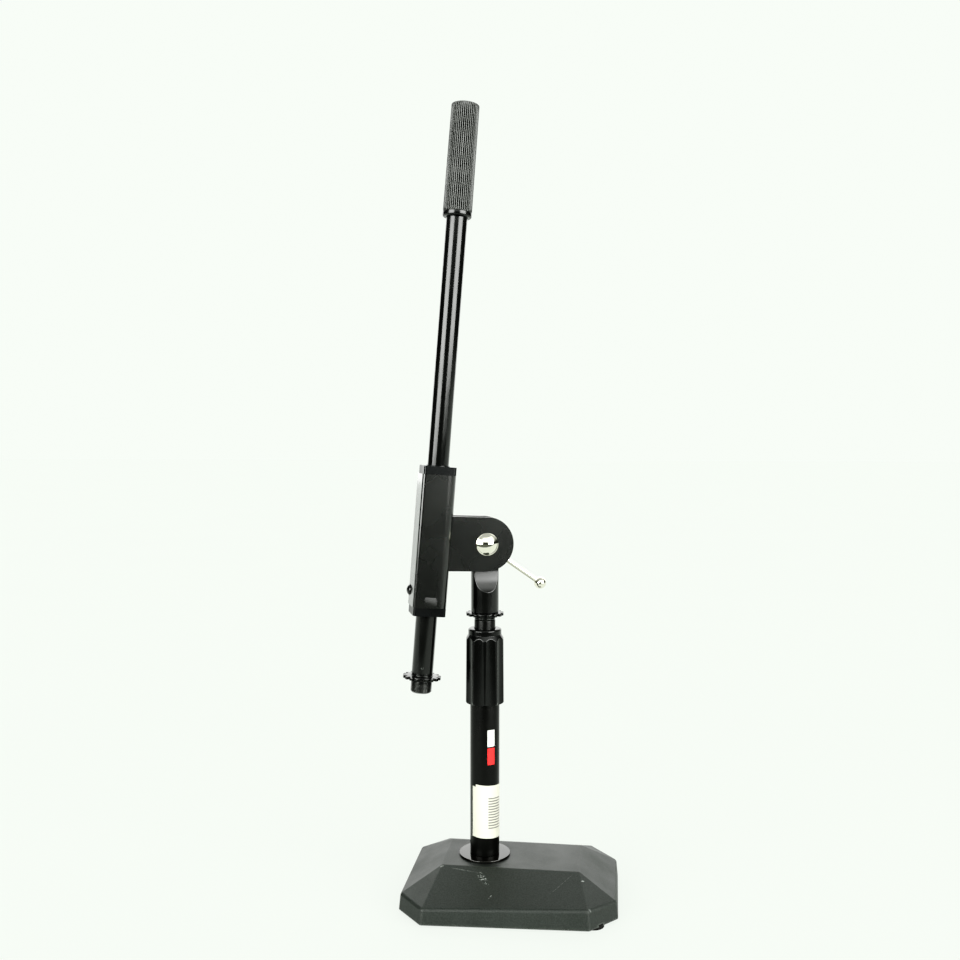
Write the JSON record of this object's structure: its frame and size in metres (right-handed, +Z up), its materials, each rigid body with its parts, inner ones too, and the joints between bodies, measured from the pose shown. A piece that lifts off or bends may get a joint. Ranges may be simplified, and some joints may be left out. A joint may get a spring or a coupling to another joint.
{
  "type": "low boom stand",
  "caption": "Low stand with a weighted base, telescopic column with twist clutch, and a tilting, sliding boom with counterweight and microphone thread.",
  "frame": {"origin": "on the floor under the middle of the base's box", "axes": "+Z up; +X along the base's long side, away from the column; +Y across the base, towards the side with the lever"},
  "size_m": [0.1608, 0.1308, 0.5927],
  "materials": {
    "cast_base": "matt charcoal paint on a cast skin",
    "rubber": "matt",
    "plain_steel": "plain turned steel",
    "gloss_black": "gloss black",
    "satin_black": "satin black powder coat",
    "knurled_black": "worn black over straight knurling",
    "grip_plastic": "gloss black",
    "liner_plastic": "matt black",
    "bright_chrome": "bright plated"
  },
  "bodies": {
    "base": {"base_casting": "cast_base", "rubber_feet": "rubber", "base_bolt": "plain_steel", "base_bolt_washer": "plain_steel", "base_washer": "gloss_black", "lower_tube": "satin_black", "tube_foot_plug": "plain_steel", "clutch_collar": "plain_steel", "clutch_collet": "liner_plastic"},
    "clutch": {"clutch_grip": "grip_plastic", "clutch_nut": "plain_steel"},
    "bush": {"shaft_bush": "liner_plastic"},
    "riser": {"inner_shaft": "gloss_black", "shaft_thread_insert": "plain_steel", "swivel_adapter": "gloss_black", "friction_washers": "liner_plastic"},
    "column_nut": {"column_lock_nut": "gloss_black"},
    "head": {"boom_bracket": "satin_black", "clamp_insert": "liner_plastic", "side_rivet": "gloss_black", "pivot_bolt": "bright_chrome"},
    "lever": {"lever_hub": "bright_chrome", "lever_washer": "bright_chrome"},
    "lever_rod": {"lever_bar": "bright_chrome", "lever_balls": "bright_chrome"},
    "boom_sleeve": {"friction_sleeve": "liner_plastic"},
    "boom": {"boom_tube": "gloss_black", "boom_thread_insert": "plain_steel", "insert_pin": "plain_steel", "counterweight": "knurled_black", "counterweight_collar": "gloss_black"},
    "mic_nut": {"mic_lock_nut": "gloss_black"}
  },
  "joints": [
    {"name": "height_slide", "type": "slide", "parent": "base", "child": "bush", "axis": [0, 0, 1], "range_m": [-0.008, 0.09]},
    {"name": "column_swivel", "type": "hinge", "parent": "bush", "child": "riser", "pos_m": [-0.0215, 0, 0.2], "axis": [0, 0, 1], "continuous": true},
    {"name": "clutch_turn", "type": "hinge", "parent": "base", "child": "clutch", "pos_m": [-0.0215, 0, 0.172], "axis": [0, 0, 1], "range_deg": [0, 180]},
    {"name": "column_nut_turn", "type": "hinge", "parent": "riser", "child": "column_nut", "pos_m": [-0.0215, 0, 0.2126], "axis": [0, 0, 1], "continuous": true},
    {"name": "boom_tilt", "type": "hinge", "parent": "riser", "child": "head", "pos_m": [-0.0215, 0, 0.267], "axis": [-0.342, 0.9397, 0], "range_deg": [-9, 140]},
    {"name": "lever_turn", "type": "hinge", "parent": "head", "child": "lever", "pos_m": [-0.028, 0.01785, 0.267], "axis": [-0.342, 0.9397, 0], "range_deg": [-100, 35]},
    {"name": "lever_rod_slide", "type": "slide", "parent": "lever", "child": "lever_rod", "axis": [-0.7698, -0.2802, 0.5736], "range_m": [0, 0.047]},
    {"name": "boom_spin", "type": "hinge", "parent": "head", "child": "boom_sleeve", "pos_m": [-0.05925, -0.01374, 0.27018], "axis": [0.0742, 0.027, 0.9969], "continuous": true},
    {"name": "boom_slide", "type": "slide", "parent": "boom_sleeve", "child": "boom", "axis": [-0.0742, -0.027, -0.9969], "range_m": [-0.044, 0.13]},
    {"name": "mic_nut_turn", "type": "hinge", "parent": "boom", "child": "mic_nut", "pos_m": [-0.06678, -0.01648, 0.169], "axis": [0.0742, 0.027, 0.9969], "continuous": true}
  ]
}
